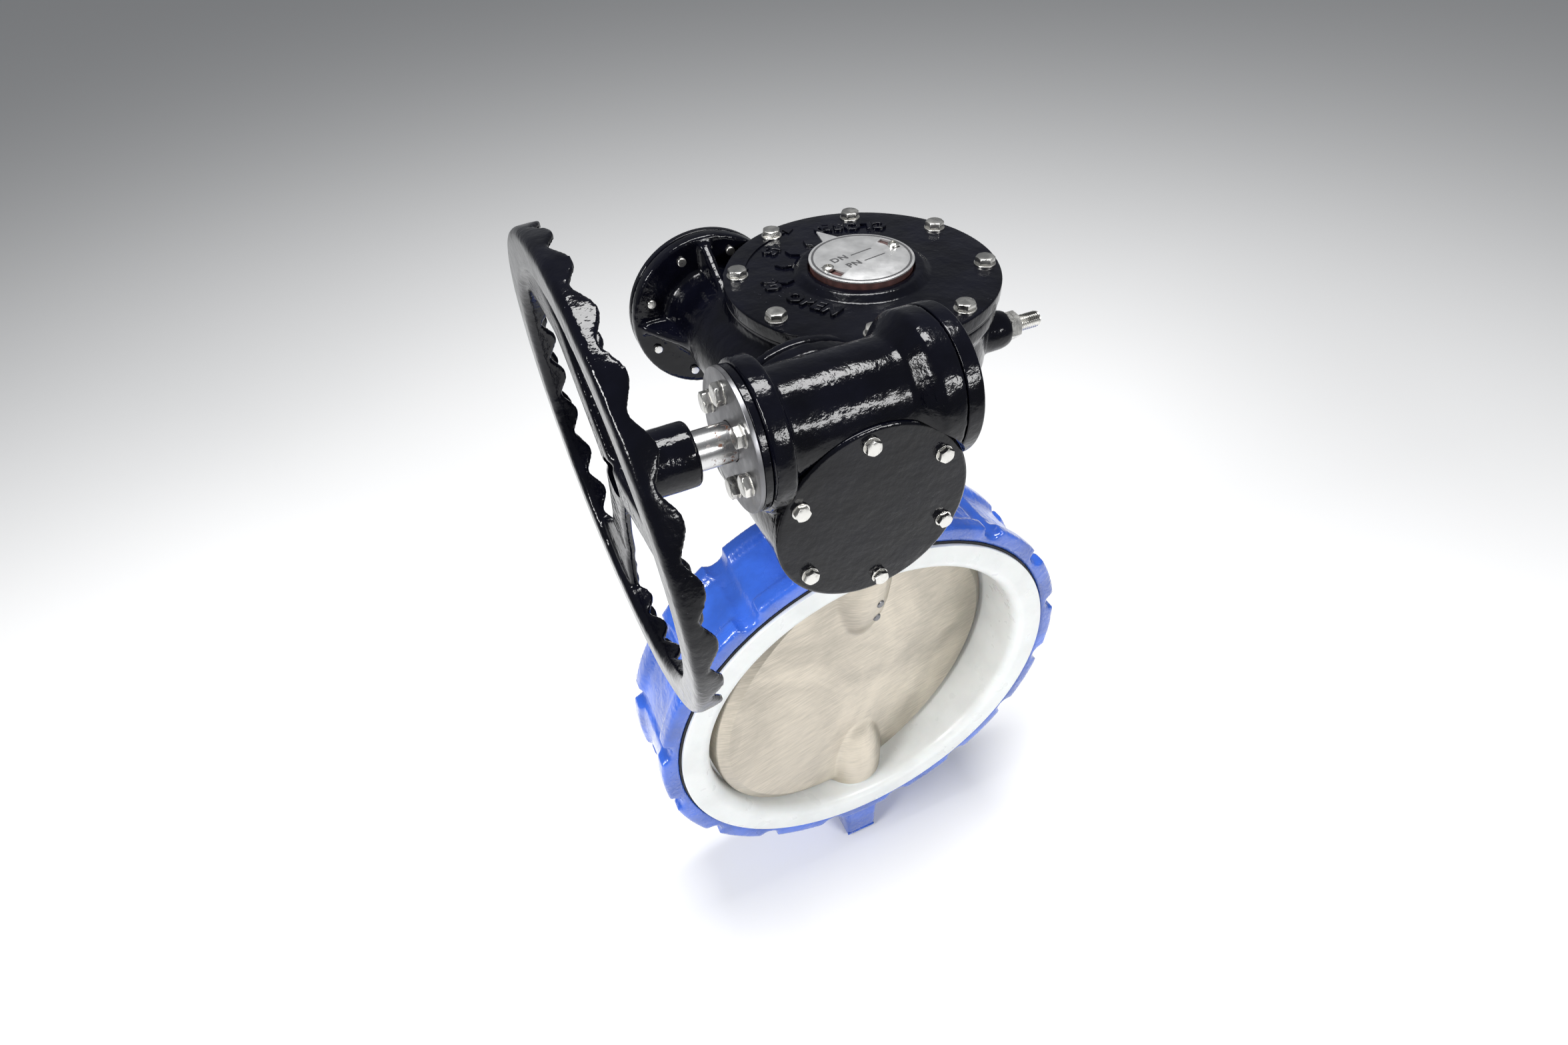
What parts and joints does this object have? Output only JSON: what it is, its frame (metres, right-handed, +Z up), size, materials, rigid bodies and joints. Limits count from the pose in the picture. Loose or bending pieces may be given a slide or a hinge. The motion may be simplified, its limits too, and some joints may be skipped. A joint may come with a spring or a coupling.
{
  "type": "lined butterfly valve",
  "caption": "Wafer butterfly valve with a plastic-lined bore, a steel disc on a vertical stem, a two-stage worm gear operator and a side handwheel.",
  "frame": {"origin": "where the stem axis crosses the pipe axis, in the middle of the valve body", "axes": "+Z up along the stem towards the gear operator, Y along the pipe, -Y towards the handwheel's gear drum, -X towards the handwheel"},
  "size_m": [0.5293, 0.4347, 1.0011],
  "materials": {
    "blue_paint": "thick gloss paint over rough casting",
    "black_paint": "thick gloss paint over casting",
    "ptfe": "smooth satin",
    "black_rubber": "matt",
    "stainless": "satin, lightly polished casting",
    "bright_steel": "bright turned or plated",
    "dark_steel": "oiled machined steel",
    "bronze": "machined bronze",
    "graphite": "pressed graphite",
    "red_primer": "dull primer"
  },
  "bodies": {
    "housing": {"body": "blue_paint", "seat_backing_ring": "black_rubber", "seat_liner": "ptfe", "upper_bush": "bronze", "lower_bush": "bronze", "stem_packing": "graphite", "packing_gland": "dark_steel", "bottom_cover": "blue_paint", "gearbox_housing": "black_paint", "cover_gasket": "graphite", "gearbox_cover": "black_paint", "cross_bearing_front": "bright_steel", "cross_bearing_rear": "bright_steel", "rear_end_cover": "black_paint", "closed_stop_screw": "bright_steel", "open_stop_screw": "bright_steel", "closed_stop_nut": "bright_steel", "open_stop_nut": "bright_steel", "cover_bolt_1": "bright_steel", "cover_bolt_2": "bright_steel", "cover_bolt_3": "bright_steel", "cover_bolt_4": "bright_steel", "cover_bolt_5": "bright_steel", "cover_bolt_6": "bright_steel", "cover_bolt_7": "bright_steel", "cover_bolt_8": "bright_steel", "mount_bolt_1": "bright_steel", "mount_bolt_2": "bright_steel", "mount_bolt_3": "bright_steel", "mount_bolt_4": "bright_steel", "reducer_housing": "black_paint", "reducer_cover": "black_paint", "reducer_cover_bolt_1": "bright_steel", "reducer_cover_bolt_2": "bright_steel", "reducer_cover_bolt_3": "bright_steel", "reducer_cover_bolt_4": "bright_steel", "reducer_cover_bolt_5": "bright_steel", "reducer_cover_bolt_6": "bright_steel", "input_bearing_left": "bright_steel", "input_bearing_right": "bright_steel", "input_bearing_cover": "black_paint", "retainer_plate": "bright_steel", "input_end_cap": "black_paint"},
    "disc_and_stem": {"stem": "bright_steel", "lower_stub_shaft": "bright_steel", "disc": "stainless", "disc_pin_upper": "bright_steel", "disc_pin_lower": "bright_steel", "worm_quadrant": "bronze", "stem_key": "bright_steel", "indicator_hub": "red_primer", "indicator_plate": "bright_steel", "indicator_screw_1": "bright_steel", "indicator_screw_2": "bright_steel"},
    "cross_shaft_group": {"cross_shaft": "dark_steel", "worm_wheel": "bronze"},
    "input_group": {"input_shaft": "bright_steel", "handwheel": "black_paint", "handwheel_key": "bright_steel", "handwheel_set_screw": "bright_steel"}
  },
  "joints": [
    {"name": "handwheel_turn", "type": "hinge", "parent": "housing", "child": "input_group", "pos_m": [0, -0.164, 0.524], "axis": [-1, 0, 0], "range_deg": [-5849, 46799]},
    {"name": "cross_shaft_turn", "type": "hinge", "parent": "housing", "child": "cross_shaft_group", "pos_m": [-0.098, 0, 0.462], "axis": [0, 1, 0], "range_deg": [-390, 3120]},
    {"name": "stem_turn", "type": "hinge", "parent": "housing", "child": "disc_and_stem", "pos_m": [0, 0, 0], "axis": [0, 0, 1], "range_deg": [-10, 80]}
  ],
  "couplings": [
    {"joint": "cross_shaft_turn", "follows": "handwheel_turn", "ratio": 0.066667},
    {"joint": "stem_turn", "follows": "handwheel_turn", "ratio": 0.0017094}
  ]
}
